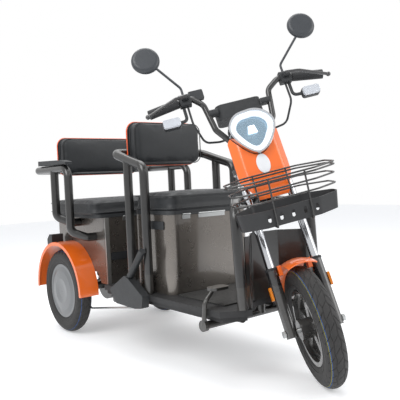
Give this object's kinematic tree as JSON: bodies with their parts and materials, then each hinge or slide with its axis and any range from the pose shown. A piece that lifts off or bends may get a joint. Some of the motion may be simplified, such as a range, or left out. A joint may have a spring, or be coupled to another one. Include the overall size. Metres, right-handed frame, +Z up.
{
  "type": "electric tricycle",
  "caption": "Electric tricycle with bench seats front and rear, lidded storage boxes under them, a wire front basket and telescopic fork, front wheel turned to its right",
  "frame": {"origin": "centre of the bounding box's base, on the ground", "axes": "+X ahead of the vehicle, +Y to its left, +Z up; the front wheel is turned 32.8 degrees to the right at rest"},
  "size_m": [1.7394, 0.7175, 1.3199],
  "materials": {
    "amber_lens": "reflector",
    "black_alloy": "satin",
    "black_cloth": "woven",
    "black_leather": "soft grain",
    "black_plastic": "fine grain",
    "black_steel": "gloss",
    "black_wire": "powder coat",
    "bright_grey": "satin",
    "bronze_paint": "metallic",
    "chrome_tube": "polished",
    "clear_lens": "clear",
    "grey_cover": "satin",
    "grip_rubber": "moulded ribs",
    "mirror_coat": "polished",
    "orange_paint": "gloss",
    "red_lens": "clear red",
    "rubber_mat": "ribbed",
    "tyre_rubber": "road tread",
    "white_lens": "clear",
    "zinc_steel": "plated"
  },
  "bodies": {
    "chassis": {"battery_pack": "black_plastic", "brake_rod": "black_steel", "floor_board": "black_plastic", "floor_mat": "rubber_mat", "foot_brake": "black_steel", "frame": "black_steel", "front_backrest": "black_leather", "front_backrest_board": "black_plastic", "front_box": "bronze_paint", "front_seat_frame": "black_steel", "leaf_springs": "black_steel", "leg_shield": "black_plastic", "lock_strips": "black_plastic", "parking_brake": "black_plastic", "rear_armrest_pads": "black_plastic", "rear_axle": "black_steel", "rear_backrest": "black_leather", "rear_backrest_board": "black_plastic", "rear_box": "bronze_paint", "rear_box_posts": "bright_grey", "rear_fenders": "orange_paint", "rear_seat_frame": "black_steel", "seat_hinges": "zinc_steel", "tail_lamps": "red_lens"},
    "steering_assembly": {"basket_bracket": "black_steel", "basket_tray": "black_plastic", "basket_wires": "black_wire", "brake_levers": "black_alloy", "control_cables": "black_plastic", "control_housings": "black_plastic", "display_unit": "black_plastic", "fork_reflectors": "amber_lens", "fork_sliders": "black_alloy", "fork_stanchions": "chrome_tube", "fork_yokes": "black_steel", "front_axle": "zinc_steel", "front_fender": "orange_paint", "grips": "grip_rubber", "handlebar": "black_steel", "handlebar_bag": "black_cloth", "head_panel": "orange_paint", "headlight_case": "black_plastic", "headlight_lens": "clear_lens", "headlight_reflector": "mirror_coat", "headlight_ring": "white_lens", "lamp_bracket": "black_steel", "mirror_glass": "mirror_coat", "mirror_shells": "black_plastic", "turn_signal_lenses": "white_lens", "turn_signals": "black_plastic"},
    "front_wheel": {"front_tyre": "tyre_rubber", "front_rim": "black_steel"},
    "rear_wheel_right_turning": {"rear_tyre_right": "tyre_rubber", "rear_wheel_right": "grey_cover"},
    "rear_wheel_left_turning": {"rear_tyre_left": "tyre_rubber", "rear_wheel_left": "grey_cover"},
    "front_seat": {"front_seat_pan": "black_plastic", "front_cushion": "black_leather"},
    "rear_seat": {"rear_seat_pan": "black_plastic", "rear_cushion": "black_leather"}
  },
  "joints": [
    {"name": "steering", "type": "hinge", "parent": "chassis", "child": "steering_assembly", "pos_m": [0.65235, 0, 0.19118], "axis": [-0.3778, 0, 0.9259], "range_deg": [-4.5, 70.1]},
    {"name": "front_wheel_spin", "type": "hinge", "parent": "steering_assembly", "child": "front_wheel", "pos_m": [0.68022, -0.01939, 0.20255], "axis": [0.5016, 0.8406, 0.2047], "continuous": true},
    {"name": "rear_wheel_right_spin", "type": "hinge", "parent": "chassis", "child": "rear_wheel_right_turning", "pos_m": [-0.638, -0.2786, 0.1998], "axis": [0, 1, 0], "continuous": true},
    {"name": "rear_wheel_left_spin", "type": "hinge", "parent": "chassis", "child": "rear_wheel_left_turning", "pos_m": [-0.638, 0.2786, 0.1998], "axis": [0, 1, 0], "continuous": true},
    {"name": "front_seat_hinge", "type": "hinge", "parent": "chassis", "child": "front_seat", "pos_m": [0.15, 0, 0.5757], "axis": [0, 1, 0], "range_deg": [0, 70]},
    {"name": "rear_seat_hinge", "type": "hinge", "parent": "chassis", "child": "rear_seat", "pos_m": [-0.3016, 0, 0.5572], "axis": [0, 1, 0], "range_deg": [0, 70]}
  ]
}
